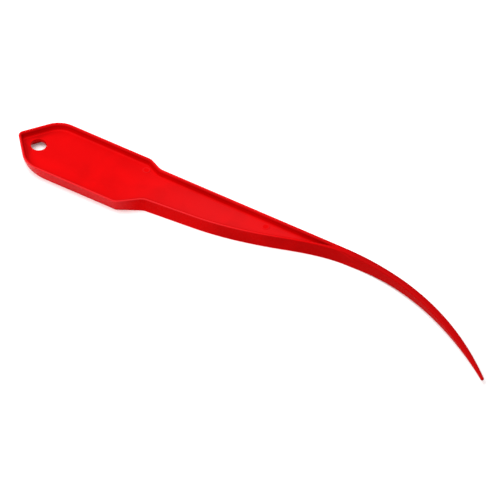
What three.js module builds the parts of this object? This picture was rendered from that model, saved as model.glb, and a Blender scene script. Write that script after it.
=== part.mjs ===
/*
 * Shelling pick, moulded in one piece from red plastic: a flat paddle handle with a raised border and a
 * hanging hole, a blade whose two rails taper towards each other, and a slim prong that curves to one side.
 *
 * The one moulding is divided, on planes where its section stays the same, into the six regions that it is
 * made of. They meet face to face, and none of them comes off the real tool.
 *
 * Millimetres. X runs from the handle's nose to the prong's tip, Y to the straight back edge, Z is up.
 * The outlines below are drawn with the nose at X = 0 and the handle's centre line on Y = 0.
 */
import * as THREE from 'three';

// Whole tool
const OVERALL_LENGTH = 223.5;
const THICKNESS = 6.8;
const WEB_THICKNESS = 1.6;

// Handle outline, along its upper edge
const HANDLE_WIDTH = 27.8;
const HANDLE_LENGTH = 52; // nose to the start of both shoulders
const NOSE_HALF_ANGLE = THREE.MathUtils.degToRad(51);
const NOSE_RADIUS = 2.5;
const NOSE_OFFSET = 0.5; // nose to the centre line, on the belly side
const NOSE_CORNER_RADIUS = 10.5;
const BACK_SHOULDER_LENGTH = 6;
const BELLY_SHOULDER_LENGTH = 8.6;
const SHOULDER_RADIUS = 4;
const SHOULDER_ROOT_RADIUS = 5;

// Handle border: level upper edge, outer wall leaning in to a narrower, rounder foot
const BORDER_WIDTH = 1.4;
const SIDE_LEAN = 2.25;
const NOSE_LEAN = 0.9;
const SIDE_FOOT_WIDTH = 0.8;
const NOSE_FOOT_WIDTH = 1.8;
const FOOT_CORNER_RADIUS = 20;
const WEB_STUB = 0.4; // strip of the web that belongs to the border

// Hanging hole
const HOLE_DIAMETER = 6.2;
const HOLE_FROM_NOSE = 8.6;

// Blade
const BLADE_RUN_IN = 3.4; // from the shoulder roots to where the rails are plain
const BACK_OFFSET = 11.05; // centre line to the back edge
const BELLY_OFFSET = 6.5; // centre line to the belly edge at its shoulder root
const BACK_RAIL_WIDTH = 1.5;
const BELLY_RAIL_WIDTH = 1.2;
const BELLY_SLOPE = 0.08; // rise of the belly edge while it is still straight
const BELLY_STRAIGHT_LENGTH = 21.4; // from the shoulder root
const BELLY_SWEEP_LENGTH = 37; // on from there to the steepest place
const BELLY_STEEPEST_SLOPE = 0.335;
const BLADE_WIDTH_AT_STEEPEST = 7.65;
const BELLY_RUN_OUT_LENGTH = 26; // on from there to where it is level with the back edge
const ROOT_GAP = 0.6; // blunt end of the web where the rails run together
const ROOT_LENGTH = 2; // solid stretch between the web's end and the prong

// Prong: one width at its root, a fuller one part of the way along its bend, and a fine tip
const PRONG_WIDTH = 2.4;
const NECK_LENGTH = 3.2; // from the end of the belly's run-out to the bend
const BELLIED_WIDTH = 3;
const BELLIED_AT = 0.6; // share of the bend
const TIP_WIDTH = 1.4;
const TIP_HEIGHT = 1.4;
const TIP_OFFSET = 20; // centre line to the middle of the tip, on the belly side
const PRONG_EDGE_RADIUS = 0.8;
const EDGE_RUN_OUT = 24; // length over which the rails' square edges become the prong's round ones

// Fineness of curves
const ARC_STEPS = 8;
const BELLY_STEP = 3.5;
const PRONG_STATIONS = 34;
const CORNER_STEPS = 3;
const CAP_STEPS = 4;

const webBottom = (THICKNESS - WEB_THICKNESS) / 2;
const webTop = webBottom + WEB_THICKNESS;
const halfWidth = HANDLE_WIDTH / 2;
const bellyRootX = HANDLE_LENGTH + BELLY_SHOULDER_LENGTH;
const backInner = BACK_OFFSET - BACK_RAIL_WIDTH;
const bladeStart = HANDLE_LENGTH + Math.max(BACK_SHOULDER_LENGTH, BELLY_SHOULDER_LENGTH) + BLADE_RUN_IN;
const straightEndX = bellyRootX + BELLY_STRAIGHT_LENGTH;
const steepestX = straightEndX + BELLY_SWEEP_LENGTH;
const neckStartX = steepestX + BELLY_RUN_OUT_LENGTH;
const bendStartX = neckStartX + NECK_LENGTH;

// ---------------------------------------------------------------------------------------------
// Belly edge: straight from the shoulder, then an S that ends level with the back edge

const bellyLineY = (x) => -BELLY_OFFSET + BELLY_SLOPE * (x - bellyRootX);

/** Curve whose height is a cubic in x, from a start to an end with the slope given at each. */
function slopeCurve(start, startSlope, end, endSlope) {
  const third = (end.x - start.x) / 3;
  return new THREE.CubicBezierCurve(
    start,
    new THREE.Vector2(start.x + third, start.y + third * startSlope),
    new THREE.Vector2(end.x - third, end.y - third * endSlope),
    end,
  );
}

const bellyStraightEnd = new THREE.Vector2(straightEndX, bellyLineY(straightEndX));
const bellySteepest = new THREE.Vector2(steepestX, BACK_OFFSET - BLADE_WIDTH_AT_STEEPEST);
const bellyEnd = new THREE.Vector2(neckStartX, BACK_OFFSET - PRONG_WIDTH);
const bellySweep = slopeCurve(bellyStraightEnd, BELLY_SLOPE, bellySteepest, BELLY_STEEPEST_SLOPE);
const bellyRunOut = slopeCurve(bellySteepest, BELLY_STEEPEST_SLOPE, bellyEnd, 0);

/** Belly edge at x, moved into the blade by the given width measured square to the edge. */
function bellyY(x, inset = 0) {
  let y = bellyLineY(x);
  let slope = BELLY_SLOPE;
  if (x > straightEndX) {
    const curve = x < steepestX ? bellySweep : bellyRunOut;
    const t = Math.min((x - curve.v0.x) / (curve.v3.x - curve.v0.x), 1);
    const tangent = curve.getTangent(t);
    y = curve.getPoint(t).y;
    slope = tangent.y / tangent.x;
  }
  return y + inset * Math.hypot(1, slope);
}

/** Place where the web between the rails has narrowed to the root gap. */
function findRoot() {
  let low = bladeStart;
  let high = neckStartX;
  while (high - low > 1e-6) {
    const middle = (low + high) / 2;
    if (backInner - bellyY(middle, BELLY_RAIL_WIDTH) > ROOT_GAP) low = middle;
    else high = middle;
  }
  return low;
}

const rootX = findRoot();
const prongStart = rootX + ROOT_LENGTH;

/** Evenly spaced places from one x to another, both ends included. */
function spaced(from, to, step) {
  const count = Math.max(1, Math.ceil((to - from) / step));
  return Array.from({ length: count + 1 }, (_, i) => from + ((to - from) * i) / count);
}

// ---------------------------------------------------------------------------------------------
// Handle outline

/** Round one corner: points of the arc that touches both edges, from the first edge to the second. */
function roundCorner(before, corner, after, radius) {
  const inward = corner.clone().sub(before).normalize();
  const outward = after.clone().sub(corner).normalize();
  const turn = Math.atan2(inward.cross(outward), inward.dot(outward));
  const reach = radius * Math.tan(Math.abs(turn) / 2);
  const start = corner.clone().addScaledVector(inward, -reach);
  const side = new THREE.Vector2(-inward.y, inward.x).multiplyScalar(Math.sign(turn));
  const centre = start.clone().addScaledVector(side, radius);
  return Array.from({ length: ARC_STEPS + 1 }, (_, i) => (
    start.clone().rotateAround(centre, (turn * i) / ARC_STEPS)
  ));
}

/**
 * Open outline of the handle, from the blade's start on the back edge, round the nose, to the blade's
 * start on the belly edge. Each inset moves its own stretch inwards: the nose's two slants, the handle's
 * two sides, and the back and the belly rail where the handle becomes the blade.
 */
function handleOutline({ nose, side, back, belly, cornerRadius = NOSE_CORNER_RADIUS - side }) {
  const apexX = -NOSE_RADIUS * (1 / Math.sin(NOSE_HALF_ANGLE) - 1) + nose / Math.sin(NOSE_HALF_ANGLE);
  const sideY = halfWidth - side;
  const noseCornerX = apexX + sideY / Math.tan(NOSE_HALF_ANGLE);
  const backRamp = Math.atan2(halfWidth - BACK_OFFSET, BACK_SHOULDER_LENGTH);
  const bellyRamp = Math.atan2(halfWidth - BELLY_OFFSET, BELLY_SHOULDER_LENGTH);
  const point = (x, y, radius) => ({ at: new THREE.Vector2(x, y), radius });
  const noseRadius = Math.max(NOSE_RADIUS - nose, NOSE_RADIUS / 3);
  const shoulderRadius = Math.max(SHOULDER_RADIUS - side, SHOULDER_RADIUS / 3);
  const corners = [
    point(bladeStart, BACK_OFFSET - back),
    point(HANDLE_LENGTH + BACK_SHOULDER_LENGTH - back * Math.tan(backRamp / 2),
      BACK_OFFSET - back, SHOULDER_ROOT_RADIUS + back),
    point(HANDLE_LENGTH - side * Math.tan(backRamp / 2), sideY, shoulderRadius),
    point(noseCornerX, sideY, cornerRadius),
    point(apexX, -NOSE_OFFSET, noseRadius),
    point(noseCornerX, -sideY, cornerRadius),
    point(HANDLE_LENGTH - side * Math.tan(bellyRamp / 2), -sideY, shoulderRadius),
    point(bellyRootX - belly * Math.tan(bellyRamp / 2),
      bellyY(bellyRootX, belly), SHOULDER_ROOT_RADIUS + belly),
    point(bladeStart, bellyY(bladeStart, belly)),
  ];
  const points = [corners[0].at];
  for (let i = 1; i < corners.length - 1; i += 1) {
    points.push(...roundCorner(corners[i - 1].at, corners[i].at, corners[i + 1].at, corners[i].radius));
  }
  points.push(corners.at(-1).at);
  return points;
}

// ---------------------------------------------------------------------------------------------
// Solids

/** Closed body through rings of matching points, capped flat at both ends, or at a single last point. */
function loft(rings) {
  const count = rings[0].length;
  const vertices = rings.flat();
  const triangles = [];
  const face = (...corners) => {
    const [a, b, c] = corners.map((index) => vertices[index]);
    if (!a.equals(b) && !b.equals(c) && !c.equals(a)) triangles.push(corners);
  };
  for (let ring = 0; ring < rings.length - 1; ring += 1) {
    for (let i = 0; i < count; i += 1) {
      const next = (i + 1) % count;
      const near = ring * count;
      const far = near + count;
      face(near + i, near + next, far + next);
      face(near + i, far + next, far + i);
    }
  }
  for (const [ring, reverse] of [[0, true], [rings.length - 1, false]]) {
    const axis = new THREE.Vector3();
    rings[ring].forEach((p, i) => axis.add(p.clone().cross(rings[ring][(i + 1) % count])));
    if (axis.lengthSq() === 0) continue;
    const level = new THREE.Quaternion().setFromUnitVectors(axis.normalize(), new THREE.Vector3(0, 0, 1));
    const flat = rings[ring].map((p) => p.clone().applyQuaternion(level));
    for (const [a, b, c] of THREE.ShapeUtils.triangulateShape(flat, [])) {
      const base = ring * count;
      if (reverse) face(base + c, base + b, base + a);
      else face(base + a, base + b, base + c);
    }
  }
  const volume = triangles.reduce((sum, [a, b, c]) => (
    sum + vertices[a].dot(vertices[b].clone().cross(vertices[c]))
  ), 0);
  const outward = volume > 0 ? triangles : triangles.map(([a, b, c]) => [c, b, a]);
  const geometry = new THREE.BufferGeometry().setFromPoints(vertices);
  geometry.setIndex(outward.flat());
  geometry.computeVertexNormals();
  return geometry;
}

/** Plate of the given outline between two heights. */
function plate(outline, bottom, top, holes = []) {
  const shape = new THREE.Shape(outline);
  shape.holes = holes;
  const geometry = new THREE.ExtrudeGeometry(shape, {
    depth: top - bottom, bevelEnabled: false, curveSegments: 4 * ARC_STEPS,
  });
  return geometry.translate(0, 0, bottom);
}

const upperEdge = { nose: 0, side: 0, back: 0, belly: 0 };
const upperInner = { nose: BORDER_WIDTH, side: BORDER_WIDTH, back: BACK_RAIL_WIDTH, belly: BELLY_RAIL_WIDTH };
const footEdge = { ...upperEdge, nose: NOSE_LEAN, side: SIDE_LEAN, cornerRadius: FOOT_CORNER_RADIUS };
const footInner = {
  ...upperInner,
  nose: NOSE_LEAN + NOSE_FOOT_WIDTH,
  side: SIDE_LEAN + SIDE_FOOT_WIDTH,
  cornerRadius: NOSE_CORNER_RADIUS,
};
const webEdge = {
  nose: footInner.nose + WEB_STUB,
  side: footInner.side + WEB_STUB,
  back: BACK_RAIL_WIDTH + WEB_STUB,
  belly: BELLY_RAIL_WIDTH + WEB_STUB,
  cornerRadius: NOSE_CORNER_RADIUS - WEB_STUB,
};

/** Border of the handle: one section, with each of its points carried round an outline of its own. */
function handleRimGeometry() {
  const section = [
    [upperEdge, THICKNESS],
    [footEdge, 0],
    [footInner, 0],
    [footInner, webBottom],
    [webEdge, webBottom],
    [webEdge, webTop],
    [upperInner, webTop],
    [upperInner, THICKNESS],
  ];
  const traces = section.map(([insets, z]) => (
    handleOutline(insets).map((p) => new THREE.Vector3(p.x, p.y, z))
  ));
  return loft(traces[0].map((_, station) => traces.map((trace) => trace[station])));
}

function handlePanelGeometry() {
  const hole = new THREE.Path().absarc(HOLE_FROM_NOSE, 0, HOLE_DIAMETER / 2, 0, 2 * Math.PI, true);
  return plate(handleOutline(webEdge), webBottom, webTop, [hole]);
}

function backRailGeometry() {
  const corners = [[bladeStart, backInner], [prongStart, backInner],
    [prongStart, BACK_OFFSET], [bladeStart, BACK_OFFSET]];
  return plate(corners.map(([x, y]) => new THREE.Vector2(x, y)), 0, THICKNESS);
}

const webPlaces = spaced(bladeStart, rootX, BELLY_STEP);
const bellyInnerEdge = webPlaces.map((x) => new THREE.Vector2(x, bellyY(x, BELLY_RAIL_WIDTH)));

function bellyRailGeometry() {
  const rootPlaces = spaced(rootX, prongStart, BELLY_STEP).slice(1);
  const outer = [...webPlaces, ...rootPlaces].map((x) => new THREE.Vector2(x, bellyY(x)));
  const root = [new THREE.Vector2(prongStart, backInner), new THREE.Vector2(rootX, backInner)];
  return plate([...outer, ...root, ...bellyInnerEdge.toReversed()], 0, THICKNESS);
}

function bladePanelGeometry() {
  const back = [new THREE.Vector2(rootX, backInner), new THREE.Vector2(bladeStart, backInner)];
  return plate([...bellyInnerEdge, ...back], webBottom, webTop);
}

/** Rounded rectangle round a station of the prong, square to its run. */
function prongSection({ centre, run, width, height, radius }) {
  const side = new THREE.Vector2(-run.y, run.x);
  const corner = Math.min(radius, width / 2, height / 2);
  const ring = [];
  for (const [across, up, startAngle] of [[1, 1, 0], [-1, 1, 1], [-1, -1, 2], [1, -1, 3]]) {
    for (let i = 0; i <= CORNER_STEPS; i += 1) {
      const angle = (startAngle + i / CORNER_STEPS) * (Math.PI / 2);
      const out = across * (width / 2 - corner) + corner * Math.cos(angle);
      const z = THICKNESS / 2 + up * (height / 2 - corner) + corner * Math.sin(angle);
      ring.push(new THREE.Vector3(centre.x + side.x * out, centre.y + side.y * out, z));
    }
  }
  return ring;
}

/** Width of the prong at a share of its bend: swelling slowly, then tapering to the tip. */
function prongWidth(share) {
  const { lerp, smoothstep } = THREE.MathUtils;
  if (share < BELLIED_AT) return lerp(PRONG_WIDTH, BELLIED_WIDTH, smoothstep(share, 0, BELLIED_AT));
  const past = (share - BELLIED_AT) / (1 - BELLIED_AT);
  return lerp(BELLIED_WIDTH, TIP_WIDTH, past * past);
}

function prongGeometry() {
  const tipRadius = TIP_WIDTH / 2;
  const bendFrom = new THREE.Vector2(bendStartX, BACK_OFFSET - PRONG_WIDTH / 2);
  const tip = new THREE.Vector2(OVERALL_LENGTH - tipRadius, -TIP_OFFSET);
  const control = new THREE.Vector2((bendFrom.x + tip.x) / 2, bendFrom.y);
  const bend = new THREE.QuadraticBezierCurve(bendFrom, control, tip);
  const heightAt = (x) => {
    const share = Math.max(x - neckStartX, 0) / (tip.x - neckStartX);
    return THREE.MathUtils.lerp(THICKNESS, TIP_HEIGHT, share);
  };
  const radiusAt = (x) => PRONG_EDGE_RADIUS * Math.min((x - prongStart) / EDGE_RUN_OUT, 1);
  const neck = [...spaced(prongStart, neckStartX, BELLY_STEP), bendStartX].slice(0, -1);
  const stations = neck.map((x) => {
    const width = BACK_OFFSET - bellyY(x);
    const centre = new THREE.Vector2(x, BACK_OFFSET - width / 2);
    return { centre, run: new THREE.Vector2(1, 0), width, height: heightAt(x), radius: radiusAt(x) };
  });
  for (let i = 0; i <= PRONG_STATIONS; i += 1) {
    const share = i / PRONG_STATIONS;
    const centre = bend.getPoint(share);
    stations.push({
      centre,
      run: bend.getTangent(share),
      width: prongWidth(share),
      height: heightAt(centre.x),
      radius: radiusAt(centre.x),
    });
  }
  const last = stations.at(-1);
  for (let i = 1; i <= CAP_STEPS; i += 1) {
    const angle = (i / CAP_STEPS) * (Math.PI / 2);
    const shrink = i === CAP_STEPS ? 0 : Math.cos(angle);
    stations.push({
      ...last,
      centre: last.centre.clone().addScaledVector(last.run, tipRadius * Math.sin(angle)),
      width: last.width * shrink,
      height: last.height * shrink,
    });
  }
  return loft(stations.map(prongSection));
}

// ---------------------------------------------------------------------------------------------
// Assembly

/** Named mesh in the glossy red of the moulding. */
function region(name, geometry) {
  const material = new THREE.MeshStandardMaterial({ color: 0xd80f14, roughness: 0.35, metalness: 0 });
  const mesh = new THREE.Mesh(geometry, material);
  mesh.name = name;
  return mesh;
}

const tool = new THREE.Group();
tool.add(
  region('handle_rim', handleRimGeometry()),
  region('handle_panel', handlePanelGeometry()),
  region('back_rail', backRailGeometry()),
  region('belly_rail', bellyRailGeometry()),
  region('blade_panel', bladePanelGeometry()),
  region('prong', prongGeometry()),
);

// The origin is under the middle of the whole tool, on the surface that it lies on
const centre = new THREE.Box3().setFromObject(tool).getCenter(new THREE.Vector3());
tool.position.set(-centre.x, -centre.y, 0);

export default tool;
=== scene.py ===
"""Shelling pick, moulded in one piece from red plastic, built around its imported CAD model."""

import math

import bpy
import numpy as np
from bpy.props import FloatProperty, FloatVectorProperty, IntProperty, PointerProperty
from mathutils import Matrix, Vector


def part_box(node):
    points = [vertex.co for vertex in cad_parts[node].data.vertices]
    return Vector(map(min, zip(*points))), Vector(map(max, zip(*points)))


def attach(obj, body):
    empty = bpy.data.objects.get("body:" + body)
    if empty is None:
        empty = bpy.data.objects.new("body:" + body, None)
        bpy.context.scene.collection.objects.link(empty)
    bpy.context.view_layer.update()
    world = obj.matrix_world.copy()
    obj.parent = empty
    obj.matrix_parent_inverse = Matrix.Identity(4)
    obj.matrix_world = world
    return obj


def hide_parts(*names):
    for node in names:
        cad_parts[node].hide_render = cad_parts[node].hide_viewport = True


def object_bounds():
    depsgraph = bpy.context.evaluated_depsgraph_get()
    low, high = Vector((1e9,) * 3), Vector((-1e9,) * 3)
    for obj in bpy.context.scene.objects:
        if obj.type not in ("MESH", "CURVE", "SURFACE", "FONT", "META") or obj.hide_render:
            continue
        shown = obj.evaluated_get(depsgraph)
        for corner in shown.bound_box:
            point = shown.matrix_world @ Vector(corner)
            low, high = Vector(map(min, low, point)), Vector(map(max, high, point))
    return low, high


bl_info = {
    "name": "Shelling pick",
    "version": (1, 0, 0),
    "blender": (4, 5, 0),
    "location": "View3D > Sidebar > Shelling pick",
    "description": "Builds a one-piece moulded shelling pick and the stage that it lies on",
    "category": "Object",
}

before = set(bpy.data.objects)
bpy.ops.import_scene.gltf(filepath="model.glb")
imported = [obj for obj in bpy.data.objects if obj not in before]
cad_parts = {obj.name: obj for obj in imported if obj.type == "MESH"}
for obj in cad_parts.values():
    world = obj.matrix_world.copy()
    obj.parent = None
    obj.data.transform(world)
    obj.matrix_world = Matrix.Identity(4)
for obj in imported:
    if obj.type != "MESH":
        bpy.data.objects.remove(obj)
CAD_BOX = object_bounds()
NODES = ("handle_rim", "handle_panel", "back_rail", "belly_rail", "blade_panel", "prong")
RIM_LOW, RIM_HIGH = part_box("handle_rim")
WEB_LOW, WEB_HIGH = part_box("handle_panel")
RAIL_LOW, RAIL_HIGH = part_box("back_rail")
MM = 0.001
THICKNESS = RIM_HIGH.z
# The outlines are worked out with the nose at X = 0 and the handle's centre line on Y = 0
NOSE_X = RIM_LOW.x
CENTRE_Y = (RIM_LOW.y + RIM_HIGH.y) / 2
HALF_WIDTH = (RIM_HIGH.y - RIM_LOW.y) / 2
BACK_OFFSET = RAIL_HIGH.y - CENTRE_Y
BLADE_START = RAIL_LOW.x - NOSE_X
NOSE_TO_TIP = CAD_BOX[1].x - NOSE_X


# ------------------------------------------------------------------------------------------
# Sizes and colours


def length(name, description, millimetres):
    return FloatProperty(
        name=name,
        description=description,
        default=millimetres * MM,
        unit="LENGTH",
        subtype="DISTANCE",
        precision=5,
    )


def colour(name, description, red, green, blue):
    return FloatVectorProperty(
        name=name,
        description=description,
        default=(red, green, blue),
        subtype="COLOR",
        size=3,
        min=0,
        max=1,
    )


class HandleSizes(bpy.types.PropertyGroup):
    """The flat handle, its border and its hanging hole."""

    handle_length: length("Length", "Nose to the start of the shoulders", 52)
    nose_angle: FloatProperty(
        name="Nose angle",
        description="Angle between the centre line and each slant of the nose",
        default=math.radians(51),
        subtype="ANGLE",
    )
    nose_radius: length("Nose radius", "Rounding of the nose's tip", 2.5)
    nose_offset: length("Nose offset", "Nose tip to the centre line", 0.5)
    nose_corner: length("Corner radius", "Rounding where a slant meets a side", 10.5)
    back_shoulder: length("Back shoulder", "Length of the back shoulder", 6)
    belly_shoulder: length("Belly shoulder", "Length of the belly shoulder", 8.6)
    shoulder_radius: length("Shoulder radius", "Rounding of the shoulder's outer corner", 4)
    root_radius: length("Root radius", "Rounding of the shoulder's inner corner", 5)
    border_width: length("Border width", "Width of the border's upper edge", 1.4)
    side_lean: length("Side lean", "How far the side walls lean in at the foot", 2.25)
    nose_lean: length("Nose lean", "How far the nose's walls lean in at the foot", 0.9)
    side_foot: length("Side foot", "Width of the border's foot along the sides", 0.8)
    nose_foot: length("Nose foot", "Width of the border's foot round the nose", 1.8)
    foot_corner: length("Foot corner", "Rounding of the foot where slant meets side", 20)
    hole_diameter: length("Hole diameter", "Diameter of the hanging hole", 6.2)
    hole_place: length("Hole place", "Nose to the middle of the hanging hole", 8.6)
    hole_lip: length("Hole lip", "Rounding of the hanging hole's edges", 0.2)
    steps: IntProperty(name="Steps", description="Divisions of each rounded corner", default=22)


class BladeSizes(bpy.types.PropertyGroup):
    """The two rails of the blade and the web between them."""

    belly_offset: length("Belly offset", "Centre line to the belly edge at its root", 6.5)
    back_rail: length("Back rail", "Width of the back rail", 1.5)
    belly_rail: length("Belly rail", "Width of the belly rail", 1.2)
    belly_slope: FloatProperty(
        name="Belly slope", description="Rise of the belly edge at first", default=0.08
    )
    straight_end: length("Straight end", "Where the belly edge starts to curve", 82)
    steepest_at: length("Steepest at", "Where the belly edge is steepest", 119)
    steepest_slope: FloatProperty(
        name="Steepest slope", description="Steepest rise of the belly edge", default=0.335
    )
    steepest_width: length("Steepest width", "Width of the blade at that place", 7.65)
    neck_end: length("Neck end", "Where the belly edge becomes level", 145)
    edge_radius: length("Edge radius", "Rounding of the outer edges", 0.22)
    inner_radius: length("Inner radius", "Rounding of the border's inner edges", 0.85)
    fillet: length("Fillet", "Rounding where the web meets a wall", 0.7)
    draft: length("Draft", "How far an inner wall leans over its depth", 0.12)
    run_up: length("Run-up", "Gap between the rails at which the web starts to rise", 1.3)


class ProngSizes(bpy.types.PropertyGroup):
    """The curved prong."""

    prong_width: length("Root width", "Width of the prong where it starts to bend", 2.4)
    bellied_width: length("Fullest width", "Width of the prong at its fullest", 3)
    bellied_at: FloatProperty(
        name="Fullest at",
        description="Share of the bend at which the prong is fullest",
        default=0.6,
        subtype="FACTOR",
    )
    bend_start: length("Bend start", "Where the prong starts to bend", 148.2)
    tip_width: length("Tip width", "Width of the tip", 1.4)
    tip_height: length("Tip height", "Height of the tip", 1.4)
    tip_offset: length("Tip offset", "Centre line to the middle of the tip", 20)
    round_radius: length("Round radius", "Rounding of the section where it is roundest", 0.8)
    round_from: length("Round from", "Where the section starts to turn round", 141)
    round_to: length("Round to", "Where the section has become round", 165)


class MarkSizes(bpy.types.PropertyGroup):
    """Round marks that the mould's ejector pins leave on the web."""

    mark_diameter: length("Diameter", "Outer diameter of a mark", 3.2)
    mark_height: length("Height", "Height of a mark's crest above the web", 0.14)
    mark_dish: length("Dish", "Height of a mark's middle above the web", 0.05)
    mark_sunk: length("Sunk", "Depth of a mark's closed bottom under the web's surface", 0.2)
    handle_mark_x: length("Handle mark along", "Nose to the handle's mark", 52.2)
    handle_mark_y: length("Handle mark across", "Centre line to the handle's mark", 9.7)
    blade_mark_x: length("Blade mark along", "Nose to the blade's mark", 108.4)
    blade_mark_y: length("Blade mark across", "Centre line to the blade's mark", 7.1)


class Finish(bpy.types.PropertyGroup):
    """Colours and roughness of the red plastic."""

    body: colour("Body", "Colour of the plastic", 0.64, 0.0006, 0.0010)
    # deep is the darker red of the cloudy flow marks, of the painted shade in corners, on inner edges
    # and on the outer wall, and of the neck and prong
    deep: colour("Deep", "Colour where the plastic is thick and shaded", 0.39, 0.0002, 0.0003)
    # pale is the colour of the painted sheen on top, the painted highlights on the rims and the
    # marks' crests, and the painted reflection on the handle's outer wall; it also makes the blade's
    # web a little paler
    pale: colour("Pale", "Colour of scuffed and dusty plastic", 1.0, 0.26, 0.31)
    roughness: FloatProperty(
        name="Roughness", description="Roughness of the moulded skin", default=0.34, subtype="FACTOR"
    )


class Stage(bpy.types.PropertyGroup):
    """Floor and camera."""

    floor: colour("Floor", "Colour of the floor", 0.93, 0.93, 0.93)
    floor_size: length("Floor size", "Side of the square floor", 6000)
    azimuth: FloatProperty(
        name="Azimuth",
        description="Direction of the camera round the tool",
        default=math.radians(31.1),
        subtype="ANGLE",
    )
    elevation: FloatProperty(
        name="Elevation",
        description="Height of the camera above the horizon",
        default=math.radians(45.3),
        subtype="ANGLE",
    )
    distance: length("Distance", "Camera to the middle of the tool", 8000)
    view_width: length("View width", "Width of the view at the tool", 195.3)
# ------------------------------------------------------------------------------------------
# Curves and outlines


def smooth(x, low, high):
    """Smoothstep: 0 below low, 1 above high, and 3t^2 - 2t^3 between them."""
    t = np.clip((x - low) / (high - low), 0, 1)
    return t * t * (3 - 2 * t)


def hermite(x, start, end):
    """Height and slope at x of the cubic between two (x, y, slope) points.

    Past the two points the height and slope stay what they are at the nearer one.
    With t from 0 to 1, the height is the sum of the end heights times 1 - 3t^2 + 2t^3 and
    3t^2 - 2t^3, and of the end slopes times the width and t(1 - t)^2 and -t^2(1 - t)."""
    x0, y0, slope0 = start
    x1, y1, slope1 = end
    width = x1 - x0
    t = np.clip((x - x0) / width, 0, 1)
    y = (
        (1 - 3 * t**2 + 2 * t**3) * y0
        + t * (1 - t) ** 2 * width * slope0
        + (3 * t**2 - 2 * t**3) * y1
        - t**2 * (1 - t) * width * slope1
    )
    slope = (
        6 * (t - t**2) * (y1 - y0) / width
        + (1 - 4 * t + 3 * t**2) * slope0
        + (3 * t**2 - 2 * t) * slope1
    )
    return y, slope


def belly_curve(blade, prong, root_x):
    """The belly edge, as a function of x and of how far it is moved into the blade.

    The edge is a straight line from the shoulder, then two cubics in x joined at the steepest
    place. An inset is measured square to the edge, so it counts sqrt(1 + slope^2) times in y."""
    line_y = -blade.belly_offset + blade.belly_slope * (blade.straight_end - root_x)
    line_end = (blade.straight_end, line_y, blade.belly_slope)
    steepest = (blade.steepest_at, BACK_OFFSET - blade.steepest_width, blade.steepest_slope)
    level = (blade.neck_end, BACK_OFFSET - prong.prong_width, 0.0)

    def belly(x, inset):
        line = -blade.belly_offset + blade.belly_slope * (x - root_x)
        sweep, sweep_slope = hermite(x, line_end, steepest)
        run_out, run_out_slope = hermite(x, steepest, level)
        on_line, on_sweep = x < blade.straight_end, x < blade.steepest_at
        y = np.where(on_line, line, np.where(on_sweep, sweep, run_out))
        curved = np.where(on_sweep, sweep_slope, run_out_slope)
        return y + inset * np.hypot(1, np.where(on_line, blade.belly_slope, curved))

    return belly


def rounded_corner(before, corner, after, radius, steps):
    """Arcs that touch both edges of a corner, one for each row of the arrays.

    The arc starts radius * tan(turn / 2) before the corner and turns about the centre that
    lies radius to the side of its start, from the first edge's direction to the second's."""
    first = corner - before
    first /= np.linalg.norm(first, axis=1, keepdims=True)
    second = after - corner
    second /= np.linalg.norm(second, axis=1, keepdims=True)
    turn = np.arctan2(
        first[:, 0] * second[:, 1] - first[:, 1] * second[:, 0], np.sum(first * second, axis=1)
    )
    reach = radius * np.tan(np.abs(turn) / 2)
    start = corner - first * reach[:, None]
    side = np.stack([-first[:, 1], first[:, 0]], axis=1) * np.sign(turn)[:, None]
    centre = start + side * radius[:, None]
    angle = turn[:, None] * np.linspace(0, 1, steps + 1)
    arm = start - centre
    x = centre[:, :1] + np.cos(angle) * arm[:, :1] - np.sin(angle) * arm[:, 1:]
    y = centre[:, 1:] + np.sin(angle) * arm[:, :1] + np.cos(angle) * arm[:, 1:]
    return np.stack([x, y], axis=2)


def straight(start, end, count):
    """Points spread evenly between two points, without the two themselves."""
    t = np.linspace(0, 1, count + 2)[1:-1, None]
    return start[:, None, :] * (1 - t) + end[:, None, :] * t


# Points on each straight run of the handle's outline, from the blade round the nose and back
RUN_POINTS = (6, 6, 34, 10, 10, 34, 8, 4)


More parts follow.
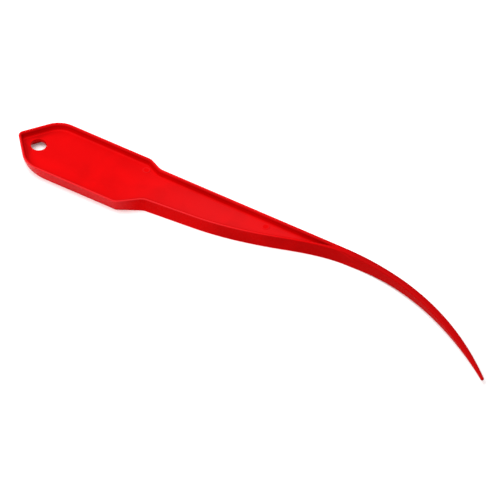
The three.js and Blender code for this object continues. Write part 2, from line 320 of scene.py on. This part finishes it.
def handle_traces(insets, corner_radius, handle, blade, belly_y):
    """One outline of the handle for each profile point: from the blade's start on the back
    edge, round the nose, to the blade's start on the belly edge.

    insets has a column for the nose's slants, the sides, the back rail and the belly rail.
    Each outline is a polygon of nine corners with its inner seven rounded."""
    nose, side, back, belly = insets.T
    angle = handle.nose_angle
    apex = -handle.nose_radius * (1 / math.sin(angle) - 1) + nose / math.sin(angle)
    side_y = HALF_WIDTH - side
    corner_x = apex + side_y / math.tan(angle)
    root_x = handle.handle_length + handle.belly_shoulder
    back_ramp = math.atan2(HALF_WIDTH - BACK_OFFSET, handle.back_shoulder)
    belly_ramp = math.atan2(HALF_WIDTH - blade.belly_offset, handle.belly_shoulder)
    whole = np.ones_like(nose)
    nose_radius = np.maximum(handle.nose_radius - nose, handle.nose_radius / 3)
    shoulder = np.maximum(handle.shoulder_radius - side, handle.shoulder_radius / 3)
    back_root = handle.handle_length + handle.back_shoulder - back * math.tan(back_ramp / 2)
    belly_root = root_x - belly * math.tan(belly_ramp / 2)
    corners = [
        (BLADE_START * whole, BACK_OFFSET - back, None),
        (back_root, BACK_OFFSET - back, handle.root_radius + back),
        (handle.handle_length - side * math.tan(back_ramp / 2), side_y, shoulder),
        (corner_x, side_y, corner_radius),
        (apex, -handle.nose_offset * whole, nose_radius),
        (corner_x, -side_y, corner_radius),
        (handle.handle_length - side * math.tan(belly_ramp / 2), -side_y, shoulder),
        (belly_root, belly_y(root_x * whole, belly), handle.root_radius + belly),
        (BLADE_START * whole, belly_y(BLADE_START * whole, belly), None),
    ]
    points = [np.stack(c[:2], axis=1) for c in corners]
    arcs = [
        rounded_corner(points[i - 1], points[i], points[i + 1], corners[i][2], handle.steps)
        for i in range(1, 8)
    ]
    starts = [points[0]] + [a[:, -1] for a in arcs]
    ends = [a[:, 0] for a in arcs] + [points[8]]
    runs = [straight(s, e, n) for s, e, n in zip(starts, ends, RUN_POINTS)]
    pieces = [points[0][:, None]]
    for run, arc in zip(runs, arcs):
        pieces += [run, arc]
    pieces += [runs[-1], points[8][:, None]]
    return np.concatenate(pieces, axis=1)


# ------------------------------------------------------------------------------------------
# Section of the border and the rails

LIP, WEB, FILLET, WALL, INNER_EDGE, RIM, EDGE, OUTER = range(8)


def half_section(handle, blade):
    """Upper half of the section, from the hanging hole's lip out to the middle of the outer wall.

    A column of the section has a kind, the part of its inset that is the same everywhere, the
    share of the border's width in its inset, its depth as a share of the recess, a depth of its
    own, and how far the inner rounding brings it outwards. On the web the inset is a share of
    the way from the middle to the wall. The rounded parts are quarter circles, with the inset
    r(1 - sin a) and the depth r(1 - cos a)."""
    lip, fillet = handle.hole_lip, blade.fillet
    inner, edge = blade.inner_radius, blade.edge_radius
    columns = []

    def add(kind, inset=0, share=0, deep=0, depth=0, turned=0):
        values = np.broadcast_arrays(kind, *map(np.atleast_1d, (inset, share, deep, depth, turned)))
        columns.append(np.stack(values, axis=1).astype(float))

    a = np.linspace(0, math.pi / 2, 4)
    add(LIP, lip * (1 - np.cos(a)), 0, 1, lip * (1 - np.sin(a)))
    over_web = (0.12, 0.26, 0.4, 0.52, 0.62, 0.7, 0.77, 0.83, 0.88, 0.92, 0.955, 0.985)
    add(WEB, over_web, 0, 1)
    a = np.linspace(0, math.pi / 2, 6)
    add(FILLET, blade.draft + fillet * (1 - np.sin(a)), 1, 1, -fillet * (1 - np.cos(a)))
    t = np.array([0.7, 0.35])
    add(WALL, blade.draft * t, 1, t, inner * (1 - t) - fillet * t)
    a = np.linspace(0, math.pi / 2, 5)
    add(INNER_EDGE, 0, 1, 0, inner * (1 - np.sin(a)), inner * (1 - np.cos(a)))
    t = np.array([0.08, 0.5, 0.92])
    add(RIM, edge * t, 1 - t, 0, 0, inner * (1 - t))
    a = np.linspace(0, math.pi / 2, 7)
    add(EDGE, edge * (1 - np.sin(a)), 0, 0, edge * (1 - np.cos(a)))
    t = np.array([0.12, 0.55, 1])
    add(OUTER, 0, 0, 0, edge + t * (THICKNESS / 2 - edge))
    return np.concatenate(columns)


def quarter_section(share, half_width, half_height, radius):
    """Points on a quarter of a rounded rectangle, at shares of its length from the top's middle.

    The quarter is a flat of half_width - radius, a quarter circle and a wall of
    half_height - radius, walked in that order. Returns the distance from the middle
    across and up."""
    flat, wall = half_width - radius, half_height - radius
    arc = radius * math.pi / 2
    walked = share * (flat + arc + wall)
    turn = np.clip((walked - flat) / np.maximum(radius, 1e-9), 0, math.pi / 2)
    across = np.minimum(walked, flat) + radius * np.sin(turn)
    up = wall - np.clip(walked - flat - arc, 0, None) + radius * np.cos(turn)
    return across, up


# ------------------------------------------------------------------------------------------
# The skin of the moulding


def handle_rows(section, handle, blade, belly_y):
    """Grid of the handle's skin: rows round the outline, columns along the whole section.

    Each column is an outline of the handle with its own insets, so that corners stay evenly
    rounded. The web's columns run straight from the fillet's foot to the inner boundary,
    which is the blade's spine and then, round the nose, the edge of the hanging hole. Returns
    the grid and its first and last row at the hole."""
    kind, inset, share, deep, depth, turned = section.T
    inner_belly = belly_y(np.array([BLADE_START]), blade.belly_rail)[0]
    spine_y = (BACK_OFFSET - blade.back_rail + inner_belly) / 2
    upper_depth = depth + deep * (THICKNESS - WEB_HIGH.z)
    widths = np.array([handle.border_width, handle.border_width, blade.back_rail, blade.belly_rail])
    feet = np.array([handle.nose_foot, handle.side_foot, blade.back_rail, blade.belly_rail])
    lean = np.array([handle.nose_lean, handle.side_lean, 0, 0])
    walls = (kind >= EDGE)[:, None]
    upper = (inset - turned)[:, None] + share[:, None] * widths
    upper = upper + np.where(walls, lean * (upper_depth / THICKNESS)[:, None], 0)
    lower_z = depth + deep * WEB_LOW.z
    # The inner rounding takes no more than this share of the foot that the outer one leaves
    most = 0.87
    room = np.minimum(most * (feet - blade.edge_radius) / blade.inner_radius, 1)
    lower = inset[:, None] - turned[:, None] * room + share[:, None] * feet
    lower = lower + lean * np.where(walls, 1 - (lower_z / THICKNESS)[:, None], 1)

    # The corners between slants and sides: the wall's radius grows evenly from rim to foot
    growth = handle.foot_corner - handle.nose_corner
    upper_wall = handle.nose_corner + growth * upper_depth / THICKNESS
    upper_radius = np.where(kind == OUTER, upper_wall, handle.nose_corner - upper[:, 1])
    inner_foot = np.clip((lower[:, 1] - handle.side_lean) / handle.side_foot, 0, None)
    lower_radius = handle.foot_corner - growth * np.minimum(inner_foot, 1)
    lower_radius -= np.maximum(inner_foot - 1, 0) * handle.side_foot
    lower_wall = handle.nose_corner + growth * (1 - lower_z / THICKNESS)
    lower_radius = np.where(kind == OUTER, lower_wall, lower_radius)
    traces = [
        handle_traces(insets, radius, handle, blade, belly_y)
        for insets, radius in ((upper, upper_radius), (lower, lower_radius))
    ]

    # The web's inner boundary: along the spine to the row far, straight on to the row near
    # beside the hole, and then round the hole to the row low_near on the belly side
    rows = traces[0].shape[1]
    apex = rows // 2
    near = sum(RUN_POINTS[:3]) + 2 * (handle.steps + 1)
    far = near - 11
    low_near = rows - 1 - near
    hole_radius = handle.hole_diameter / 2
    reach = handle.hole_place + hole_radius + handle.hole_lip
    lip_inset = np.where(kind == LIP, inset, handle.hole_lip)
    grids = []
    for trace, z in ((traces[0], THICKNESS - upper_depth), (traces[1], lower_z)):
        foot = trace[np.argmax(kind == FILLET)]
        middle = np.empty((len(kind), rows, 2))
        middle[:, :, 0] = foot[:, 0]
        onward = np.linspace(0, 1, near - far + 1)
        middle[:, far : near + 1, 0] = foot[far, 0] + (reach - foot[far, 0]) * onward
        middle[:, :, 1] = spine_y * smooth(middle[:, :, 0], handle.handle_length / 2, BLADE_START)
        middle[:, low_near:] = middle[:, near::-1]
        angle = np.concatenate([
            np.linspace(0, math.pi, apex - near + 1),
            np.linspace(math.pi, 2 * math.pi, low_near - apex + 1)[1:],
        ])
        ring = (hole_radius + lip_inset)[:, None]
        middle[:, near : low_near + 1, 0] = handle.hole_place + ring * np.cos(angle)
        middle[:, near : low_near + 1, 1] = ring * np.sin(angle)
        t = np.where(kind == LIP, 0, np.where(kind == WEB, inset, 1))[:, None, None]
        plan = np.where((kind <= WEB)[:, None, None], middle * (1 - t) + foot * t, trace)
        height = np.broadcast_to(z[:, None], plan.shape[:2]).copy()
        on_spine = np.ones(rows, bool)
        on_spine[near : low_near + 1] = False
        lip_rows = (kind == LIP)[:, None] & on_spine
        height[lip_rows] = WEB_HIGH.z if trace is traces[0] else WEB_LOW.z
        grids.append(np.concatenate([plan, height[:, :, None]], axis=2).transpose(1, 0, 2))
    whole = np.concatenate([grids[0], grids[1][:, -2::-1]], axis=1)
    return whole, near, low_near


def blade_rows(section, blade, prong, belly_y):
    """Two grids, for the back half and the belly half of the blade and prong, from the handle
    to the tip's pole.

    Up to the place where the rails meet, a row is the border's section squeezed to fit
    between the edge and the spine. Past it a row is a rounded rectangle whose corners grow
    until the prong is round. The prong's middle line is a parabola that starts along X."""
    kind, inset, share, deep, depth, turned = section.T
    inset = inset - turned
    blade_count, neck_count, bend_count, cap_count = 73, 19, 75, 8
    inner_back = BACK_OFFSET - blade.back_rail
    scan = np.linspace(BLADE_START, blade.neck_end, 20001)
    meet = scan[np.argmax(inner_back - belly_y(scan, blade.belly_rail) <= 0)]

    # Along the blade and the neck
    between = np.linspace(BLADE_START, meet, blade_count + 1)[1:]
    neck = np.linspace(meet, prong.bend_start, neck_count + 1)[1:]
    x = np.concatenate([between, neck])
    edge_y = belly_y(x, 0)
    slope_length = belly_y(x, 1.0) - edge_y
    inner_belly = belly_y(x, blade.belly_rail)
    settle = smooth(x, meet, meet + 8 * MM)
    off_middle = (1 - settle) * (blade.belly_rail - blade.back_rail) / 2
    past_meet = (BACK_OFFSET + edge_y) / 2 + off_middle
    spine = np.where(x <= meet, (inner_back + inner_belly) / 2, past_meet)
    line = np.stack([x, spine], axis=1)
    run = np.tile([1.0, 0.0], (len(x), 1))
    upper = BACK_OFFSET - spine
    lower = spine - edge_y

    # Round the bend
    tip_x = NOSE_TO_TIP - prong.tip_width / 2
    start = np.array([prong.bend_start, BACK_OFFSET - prong.prong_width / 2])
    end = np.array([tip_x, -prong.tip_offset])
    control = np.array([(start[0] + end[0]) / 2, start[1]])
    t = np.linspace(0, 1, bend_count + 1)[1:]
    s = t[:, None]
    bend = (1 - s) ** 2 * start + 2 * s * (1 - s) * control + s**2 * end
    tangent = 2 * (1 - s) * (control - start) + 2 * s * (end - control)
    tangent /= np.linalg.norm(tangent, axis=1, keepdims=True)
    swell = (prong.bellied_width - prong.prong_width) * smooth(t, 0, prong.bellied_at)
    past = np.clip((t - prong.bellied_at) / (1 - prong.bellied_at), 0, None)
    taper = prong.bellied_width + (prong.tip_width - prong.bellied_width) * past**2
    half = np.where(past > 0, taper, prong.prong_width + swell) / 2

    # Over the tip's round cap
    a = np.linspace(0, math.pi / 2, cap_count + 1)[1:]
    cap = bend[-1] + tangent[-1] * (prong.tip_width / 2) * np.sin(a)[:, None]
    shrink = np.cos(a)
    shrink[-1] = 0
    line = np.concatenate([line, bend, cap])
    run = np.concatenate([run, tangent, np.tile(tangent[-1], (cap_count, 1))])
    upper = np.concatenate([upper, half, half[-1] * shrink])
    lower = np.concatenate([lower, half, half[-1] * shrink])
    across = np.concatenate([slope_length, np.ones(bend_count + cap_count)])
    share_x = np.clip((line[:, 0] - blade.neck_end) / (tip_x - blade.neck_end), 0, 1)
    high = (THICKNESS + (prong.tip_height - THICKNESS) * share_x) / 2
    high[-cap_count:] = prong.tip_height / 2 * shrink
    side = np.stack([-run[:, 1], run[:, 0]], axis=1)

    count = len(line)
    recess = np.concatenate([x <= meet, np.zeros(count - len(x), bool)])
    fade = np.ones(count)
    fade[: len(x)] = smooth(inner_back - inner_belly, 0, blade.run_up)
    narrow = kind <= WALL
    even = smooth(line[:, 0], meet, meet + 10 * MM)
    rounding = smooth(line[:, 0], prong.round_from, prong.round_to)
    level = np.linspace(0, 1, len(kind))
    # A corner's radius stays within this share of the section's half width and half height
    fullest = 0.97
    halves = []
    for half_width, rail, stretch, sign in (
        (upper, blade.back_rail, np.ones(count), 1),
        (lower, blade.belly_rail, across, -1),
    ):
        # Between the rails: the border's section, squeezed where the web gets too narrow
        squeeze = (half_width / stretch - rail) / (blade.draft + blade.fillet + 0.1 * MM)
        squeeze = np.clip(squeeze, 0, 1)[:, None]
        place = rail + (inset + (share - 1) * rail) * np.where(narrow, squeeze, 1)
        place = np.minimum(place * stretch[:, None], half_width[:, None])
        foot = place[:, np.argmax(kind == FILLET)][:, None]
        web = half_width[:, None] * (1 - inset) + foot * inset
        place = np.where(kind == WEB, web, np.where(kind == LIP, half_width[:, None], place))
        own = np.where(kind == LIP, 0, depth)
        sunk = np.where(kind <= INNER_EDGE, fade[:, None], 1)
        dip = (deep * (THICKNESS - WEB_HIGH.z) + own) * sunk

        # Past them: a rounded rectangle, whose points move from the border's places to even ones
        edge = blade.edge_radius
        on_rim = np.clip(rail - inset - share * rail, 0, rail - edge)
        flat = np.where(kind == INNER_EDGE, -inset, np.where(kind < INNER_EDGE, 0, on_rim))
        turned = np.where(kind == EDGE, np.arcsin(np.clip(1 - inset / edge, -1, 1)), 0)
        walked = np.where(kind <= RIM, flat, rail - edge + edge * turned)
        walked = np.where(kind == OUTER, rail - edge + edge * math.pi / 2 + depth - edge, walked)
        at_meet = walked / walked[-1]
        shares = at_meet + (level - at_meet) * even[:, None]
        full = np.minimum(fullest * np.minimum(half_width, high), prong.round_radius)
        radius = np.minimum(edge + (full - edge) * rounding, full)[:, None]
        out, up = quarter_section(shares, half_width[:, None], high[:, None], radius)
        out = np.where(recess[:, None], half_width[:, None] - place, out)
        rise = np.where(recess[:, None], THICKNESS / 2 - dip, up)
        plan = line[:, None] + sign * side[:, None] * out[:, :, None]
        grid = np.concatenate([plan, THICKNESS / 2 + rise[:, :, None]], axis=2)
        mirror = grid[:, -2::-1].copy()
        mirror[:, :, 2] = THICKNESS - mirror[:, :, 2]
        halves.append(np.concatenate([grid, mirror], axis=1))
    return halves


def grid_faces(rows, columns):
    """Corner numbers of every cell of a grid, in the order that faces outwards."""
    index = np.arange(rows * columns).reshape(rows, columns)
    return np.stack(
        [index[:-1, :-1], index[:-1, 1:], index[1:, 1:], index[1:, :-1]], axis=-1
    ).reshape(-1, 4)


def weld(points, faces, attributes):
    """Joins points that share a place, and drops the corners and faces that this closes up."""
    keys = np.round(points / (0.002 * MM)).astype(np.int64)
    _, first, index = np.unique(keys, axis=0, return_index=True, return_inverse=True)
    faces = index.reshape(-1)[faces]
    repeats = faces == np.roll(faces, -1, axis=1)
    quads = faces[~repeats.any(axis=1)]
    single = faces[repeats.sum(axis=1) == 1]
    kept = ~(single == np.roll(single, -1, axis=1))
    triangles = single[kept].reshape(-1, 3)
    quads = quads[(quads[:, 0] != quads[:, 2]) & (quads[:, 1] != quads[:, 3])]
    distinct = (triangles != np.roll(triangles, -1, axis=1)).all(axis=1)
    triangles = triangles[distinct]
    return points[first], quads, triangles, {k: v[first] for k, v in attributes.items()}


def make_mesh(name, points, quads, triangles, attributes):
    """A smooth-shaded piece at the origin, from whole arrays of points and faces."""
    mesh = bpy.data.meshes.new(name)
    corners = np.concatenate([quads.reshape(-1), triangles.reshape(-1)]).astype(np.int32)
    starts = np.concatenate([
        np.arange(len(quads)) * 4,
        len(quads) * 4 + np.arange(len(triangles)) * 3,
    ]).astype(np.int32)
    mesh.vertices.add(len(points))
    mesh.vertices.foreach_set("co", points.astype(np.float32).ravel())
    mesh.loops.add(len(corners))
    mesh.loops.foreach_set("vertex_index", corners)
    mesh.polygons.add(len(starts))
    mesh.polygons.foreach_set("loop_start", starts)
    mesh.update(calc_edges=True)
    mesh.validate()
    mesh.polygons.foreach_set("use_smooth", np.ones(len(mesh.polygons), bool))
    for key, values in attributes.items():
        layer = mesh.attributes.new(key, "FLOAT", "POINT")
        layer.data.foreach_set("value", values.astype(np.float32))
    piece = bpy.data.objects.new(name, mesh)
    bpy.context.scene.collection.objects.link(piece)
    return piece


def skin_attributes(grid, kinds, handle):
    """What the plastic's colour and roughness follow: a number for each point and effect. Most are
    painted light: shade in corners, on inner edges and toward the tip, and highlights and reflection
    on the rims and the handle's outer wall.
    """
    rows, columns = grid.shape[:2]
    along = np.broadcast_to(kinds, (rows, columns)).reshape(-1)
    x, height = grid[:, :, 0].reshape(-1), grid[:, :, 2].reshape(-1)

    # The web's distance from the foot of its row's wall, for the painted shade beside the wall
    upper_foot = np.argmax(kinds == FILLET)
    upper_half = np.arange(columns) < columns // 2
    lower_foot = columns - 1 - upper_foot
    feet = np.where(upper_half[None, :, None], grid[:, [upper_foot]], grid[:, [lower_foot]])
    from_wall = np.linalg.norm((grid - feet)[:, :, :2], axis=2).reshape(-1)
    near_wall = np.where(along == WEB, 1 - smooth(from_wall, 0, 5 * MM), 0)
    # By the nose the painted shade is up to six times as strong, a painted shadow of the nose's walls
    nose_shade = 1 + 5 * (1 - smooth(x, 6 * MM, 18 * MM))

    half = THICKNESS / 2
    before_neck = x < 130 * MM
    # The web along the blade is made a little paler
    blade_web_paling = smooth(x, 40 * MM, 90 * MM) * (1 - smooth(x, 125 * MM, 140 * MM))
    # Painted shade on the outer wall, growing along the blade
    wall_shade = 0.15 + 0.85 * smooth(x, 50 * MM, 150 * MM)
    past_shoulder = smooth(x, handle.handle_length, handle.handle_length + 7 * MM)
    return {
        # Painted highlight on the rims and outer edges, fading out toward the neck
        "painted_rim_highlight": np.isin(along, (RIM, EDGE)) * (1 - smooth(x, 80 * MM, 130 * MM)),
        # Painted shade in the fillets, on the inner walls and on the web beside them, before the neck
        "corner": np.where(np.isin(along, (FILLET, WALL)), 1.0, near_wall * nose_shade) * before_neck,
        # Painted shade on the rounding of the border's inner edge
        "painted_inner_edge_shade": (along == INNER_EDGE) * smooth(np.abs(height - half), half, half - 0.1 * MM),
        # A paler web along the blade
        "paler_web_and_crest": blade_web_paling * (along <= WEB),
        # Painted reflection of the floor on the handle's outer wall
        "painted_wall_reflection": (along == OUTER) * (1 - past_shoulder),
        # Deeper red toward the tip: the painted shade on the outer wall, and over the neck and prong
        # the whole section
        "deeper_toward_tip": np.where(along == OUTER, wall_shade, smooth(x, 120 * MM, 160 * MM)),
    }


def moulding_skin(scene):
    """The whole skin of the tool as one closed grid: tip, back edge, nose, belly edge, tip."""
    handle, blade, prong = scene.handle_sizes, scene.blade_sizes, scene.prong_sizes
    belly_y = belly_curve(blade, prong, handle.handle_length + handle.belly_shoulder)
    section = half_section(handle, blade)
    round_nose, near, low_near = handle_rows(section, handle, blade, belly_y)
    upper, lower = blade_rows(section, blade, prong, belly_y)
    grid = np.concatenate([upper[::-1], round_nose, lower])
    rows, columns = grid.shape[:2]
    cells = grid_faces(rows, columns).reshape(rows - 1, columns - 1, 4)

    # The lip's columns close up on the spine, so its cells in the two rows between the spine
    # and the hole are left out, and the hole's wall starts and ends there
    first, last = len(upper) + near, len(upper) + low_near
    lips = np.count_nonzero(section[:, 0] == LIP) - 1
    kept = np.ones((rows - 1, columns - 1), bool)
    kept[[first - 1, last], :lips] = False
    kept[[first - 1, last], -lips:] = False
    inside = np.arange(first, last) * columns
    last_column = columns - 1
    corners = (inside + last_column, inside, inside + columns, inside + columns + last_column)
    hole_wall = np.stack(corners, axis=1)
    faces = np.concatenate([cells[kept], hole_wall])
    points = grid.reshape(-1, 3) + np.array([NOSE_X, CENTRE_Y, 0])
    kinds = np.concatenate([section[:, 0], section[-2::-1, 0]])
    return weld(points, faces, skin_attributes(grid, kinds, handle))


def ejector_mark(x, y, marks):
    """Round witness mark that an ejector pin leaves on the web: a low ring round a dished middle.

    The points lie on circles. From the pole the profile rises as a cosine to the ring's crest,
    falls as a quarter circle to the web and closes in a flat pole under its surface."""
    radius, crest = marks.mark_diameter / 2, marks.mark_height
    lip = 0.12  # share of the radius that lies outside the crest
    t = np.linspace(0, 1, 9)[1:]
    rise = marks.mark_dish + (crest - marks.mark_dish) * (1 - np.cos(math.pi * t**4)) / 2
    inner = np.stack([radius * (1 - lip) * t, rise], axis=1)
    a = np.linspace(0, math.pi / 2, 6)[1:]
    outer = np.stack([radius * (1 - lip + lip * np.sin(a)), crest * np.cos(a)], axis=1)
    under = np.array([[radius, -marks.mark_sunk], [radius / 2, -marks.mark_sunk]])
    profile = np.concatenate([inner, outer, under])
    angle = np.linspace(2 * math.pi, 0, 49)
    ring = np.stack([np.cos(angle), np.sin(angle)], axis=1)
    grid = np.empty((len(profile) + 2, len(angle), 3))
    grid[1:-1, :, :2] = profile[:, None, :1] * ring
    grid[[0, -1], :, :2] = 0
    grid[:, :, 2] = np.concatenate([[marks.mark_dish], profile[:, 1], [-marks.mark_sunk]])[:, None]
    grid += np.array([NOSE_X + x, CENTRE_Y + y, WEB_HIGH.z])
    return grid


def ejector_marks(marks):
    """Both marks: one on the handle's web by the back shoulder, one near the end of the blade's."""
    places = ((marks.handle_mark_x, marks.handle_mark_y), (marks.blade_mark_x, marks.blade_mark_y))
    grids = [ejector_mark(x, y, marks) for x, y in places]
    rows, columns = grids[0].shape[:2]
    cells = grid_faces(rows, columns)
    faces = np.concatenate([cells, cells + rows * columns])
    points = np.concatenate([g.reshape(-1, 3) for g in grids])
    # The crests are painted paler, a painted highlight on each ring
    crest = np.concatenate([(g[:, :, 2] > WEB_HIGH.z + 0.1 * MM).reshape(-1) for g in grids]) * 1.0
    return weld(points, faces, {"paler_web_and_crest": crest})


# ------------------------------------------------------------------------------------------
# Material


def add_node(tree, kind, inputs=(), **settings):
    """A node with its settings and its unlinked inputs given values, or linked to sockets."""
    node = tree.nodes.new(kind)
    for key, value in settings.items():
        setattr(node, key, value)
    for key, value in dict(inputs).items():
        socket = node.inputs[key]
        if isinstance(value, bpy.types.NodeSocket):
            tree.links.new(value, socket)
        else:
            socket.default_value = value
    return node


def mix_colour(tree, factor, first, second):
    inputs = {0: factor, 6: first, 7: second}
    return add_node(tree, "ShaderNodeMix", inputs, data_type="RGBA").outputs[2]


def number_math(tree, operation, *values):
    inputs = dict(enumerate(values))
    return add_node(tree, "ShaderNodeMath", inputs, operation=operation).outputs[0]


def add_effects(tree, total, weights):
    """A number, plus each named attribute of the mesh times its weight."""
    for name, weight in weights.items():
        effect = add_node(tree, "ShaderNodeAttribute", attribute_name=name).outputs["Fac"]
        total = number_math(tree, "MULTIPLY_ADD", effect, weight, total)
    return total


def noise(tree, place, scale, detail, roughness, distortion=0.0):
    inputs = {
        "Vector": place,
        "Scale": scale,
        "Detail": detail,
        "Roughness": roughness,
        "Distortion": distortion,
    }
    return add_node(tree, "ShaderNodeTexNoise", inputs).outputs["Fac"]


def red_plastic(finish):
    """Red plastic as it leaves the mould: cloudy flow marks and a fine uneven skin, with painted
    shade (deeper red) in inner corners, on inner edges and on the outer wall toward the tip, a deeper
    red neck and prong, painted sheen, highlights and reflection (paler) on top, on the rims, on the
    marks' crests and on the handle's outer wall, and a paler web along the blade."""
    material = bpy.data.materials.new("red_plastic")
    material.use_nodes = True
    tree = material.node_tree
    shader = tree.nodes["Principled BSDF"]
    place = add_node(tree, "ShaderNodeTexCoord").outputs["Object"]
    body, deep, pale = ((*c, 1) for c in (finish.body, finish.deep, finish.pale))

    flow = noise(tree, place, 55, 3, 0.5, 0.6)
    clouds = {"Value": flow, "From Min": 0.38, "From Max": 0.66, "To Min": 0, "To Max": 0.35}
    cloud = add_node(tree, "ShaderNodeMapRange", clouds).outputs[0]
    # Toward the deep red: the cloudy flow marks, painted shade in corners, on inner edges and toward
    # the tip, and less of it where the rims are painted with a highlight
    shades = {"corner": 0.12, "painted_inner_edge_shade": 0.6, "painted_rim_highlight": -0.4, "deeper_toward_tip": 1.0}
    base = mix_colour(tree, add_effects(tree, cloud, shades), body, deep)

    # Toward the pale colour: painted sheen on up-facing faces, painted highlights on the rims and the
    # marks' crests, painted reflection on the handle's outer wall, and a paler web along the blade
    normal = add_node(tree, "ShaderNodeNewGeometry").outputs["Normal"]
    upward = add_node(tree, "ShaderNodeSeparateXYZ", {0: normal}).outputs["Z"]
    painted_top_sheen = number_math(tree, "MULTIPLY", number_math(tree, "MAXIMUM", upward, 0.0), 0.006)
    painted_sheen_and_paling = add_effects(tree, painted_top_sheen, {"painted_wall_reflection": 0.035, "paler_web_and_crest": 0.02, "painted_rim_highlight": 0.06})
    base = mix_colour(tree, painted_sheen_and_paling, base, pale)
    tree.links.new(base, shader.inputs["Base Color"])

    rough = number_math(tree, "MULTIPLY_ADD", flow, 0.12, finish.roughness - 0.06)
    rough = add_effects(tree, rough, {"painted_rim_highlight": -0.04})
    tree.links.new(rough, shader.inputs["Roughness"])
    grain, ripple = noise(tree, place, 900, 2, 0.6), noise(tree, place, 140, 2, 0.5)
    height = number_math(tree, "MULTIPLY_ADD", grain, 0.15, ripple)
    skin = {"Height": height, "Strength": 0.25, "Distance": 0.06 * MM}
    bump = add_node(tree, "ShaderNodeBump", skin)
    tree.links.new(bump.outputs["Normal"], shader.inputs["Normal"])
    shader.inputs["IOR"].default_value = 1.5
    shader.inputs["Specular IOR Level"].default_value = 0.01
    return material


# ------------------------------------------------------------------------------------------
# Operators and panel


class SHELLINGPICK_OT_moulding(bpy.types.Operator):
    """Make the red moulding: handle, blade and prong as one skin"""

    bl_idname = "shelling_pick.moulding"
    bl_label = "Make the moulding"

    def execute(self, context):
        scene = context.scene
        points, quads, triangles, attributes = moulding_skin(scene)
        piece = make_mesh("moulding", points, quads, triangles, attributes)
        piece.data.materials.append(red_plastic(scene.finish))
        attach(piece, "root")
        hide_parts(*NODES)
        return {"FINISHED"}


class SHELLINGPICK_OT_ejector_marks(bpy.types.Operator):
    """Make the round witness marks on the web"""

    bl_idname = "shelling_pick.ejector_marks"
    bl_label = "Make the ejector marks"

    def execute(self, context):
        points, quads, triangles, attributes = ejector_marks(context.scene.mark_sizes)
        piece = make_mesh("ejector_marks", points, quads, triangles, attributes)
        piece.data.materials.append(bpy.data.materials["red_plastic"])
        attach(piece, "root")
        return {"FINISHED"}


class SHELLINGPICK_OT_stage(bpy.types.Operator):
    """Make the pale floor, the soft light and the camera"""

    bl_idname = "shelling_pick.stage"
    bl_label = "Make the stage"

    def execute(self, context):
        scene = context.scene
        sizes = scene.stage_sizes
        side = np.linspace(-0.5, 0.5, 5) * sizes.floor_size
        x, y = np.meshgrid(side, side)
        just_under = np.full(x.size, -0.02 * MM)
        points = np.stack([x.ravel(), y.ravel(), just_under], axis=1)
        faces = grid_faces(len(side), len(side))[:, ::-1]
        floor = make_mesh("floor", points, faces, np.empty((0, 3), int), {})
        material = bpy.data.materials.new("pale_floor")
        material.use_nodes = True
        shader = material.node_tree.nodes["Principled BSDF"]
        shader.inputs["Base Color"].default_value = (*sizes.floor, 1)
        shader.inputs["Roughness"].default_value = 0.7
        shader.inputs["Specular IOR Level"].default_value = 0.2
        shader.inputs["Emission Color"].default_value = (1, 1, 1, 1)
        shader.inputs["Emission Strength"].default_value = 0.12
        floor.data.materials.append(material)

        world = bpy.data.worlds.new("soft_light")
        world.use_nodes = True
        background = world.node_tree.nodes["Background"]
        background.inputs["Color"].default_value = (1, 1, 1, 1)
        background.inputs["Strength"].default_value = 0.55
        scene.world = world
        scene.view_settings.view_transform = "Standard"
        place = Vector((-0.35, -0.25, 1.05))
        light = bpy.data.lights.new("overhead", "AREA")
        light.shape = "SQUARE"
        light.size = 0.9
        light.energy = 14.8
        lamp = bpy.data.objects.new("overhead", light)
        lamp.location = place
        lamp.rotation_mode = "QUATERNION"
        lamp.rotation_quaternion = (-place).to_track_quat("-Z", "Y")
        scene.collection.objects.link(lamp)

        a, e = sizes.azimuth, sizes.elevation
        back = Vector((math.sin(a) * math.cos(e), -math.cos(a) * math.cos(e), math.sin(e)))
        aim = Vector((-2.54, -2.78, 3.22)) * MM
        camera = bpy.data.cameras.new("camera")
        camera.sensor_width = 36
        camera.lens = camera.sensor_width * sizes.distance / sizes.view_width
        camera.clip_end = 100
        viewer = bpy.data.objects.new("camera", camera)
        viewer.location = aim + back * sizes.distance
        viewer.rotation_mode = "QUATERNION"
        viewer.rotation_quaternion = back.to_track_quat("Z", "Y")
        scene.collection.objects.link(viewer)
        scene.camera = viewer
        return {"FINISHED"}


class SHELLINGPICK_PT_panel(bpy.types.Panel):
    """Sizes, colours and steps of the shelling pick"""

    bl_label = "Shelling pick"
    bl_idname = "SHELLINGPICK_PT_panel"
    bl_space_type = "VIEW_3D"
    bl_region_type = "UI"
    bl_category = "Shelling pick"

    def draw(self, context):
        layout = self.layout
        for name in PROPERTIES:
            group = getattr(context.scene, name)
            box = layout.box()
            for key in group.__annotations__:
                box.prop(group, key)
        for operator in OPERATORS:
            layout.operator(operator.bl_idname)


PROPERTIES = {
    "handle_sizes": HandleSizes,
    "blade_sizes": BladeSizes,
    "prong_sizes": ProngSizes,
    "mark_sizes": MarkSizes,
    "finish": Finish,
    "stage_sizes": Stage,
}
OPERATORS = (SHELLINGPICK_OT_moulding, SHELLINGPICK_OT_ejector_marks, SHELLINGPICK_OT_stage)


def register():
    for cls in (*PROPERTIES.values(), *OPERATORS, SHELLINGPICK_PT_panel):
        bpy.utils.register_class(cls)
    for name, cls in PROPERTIES.items():
        setattr(bpy.types.Scene, name, PointerProperty(type=cls))


def unregister():
    for name in PROPERTIES:
        delattr(bpy.types.Scene, name)
    for cls in (SHELLINGPICK_PT_panel, *OPERATORS, *PROPERTIES.values()):
        bpy.utils.unregister_class(cls)


def main():
    register()
    bpy.ops.shelling_pick.moulding()
    bpy.ops.shelling_pick.ejector_marks()
    bpy.ops.shelling_pick.stage()


if __name__ == "__main__":
    main()
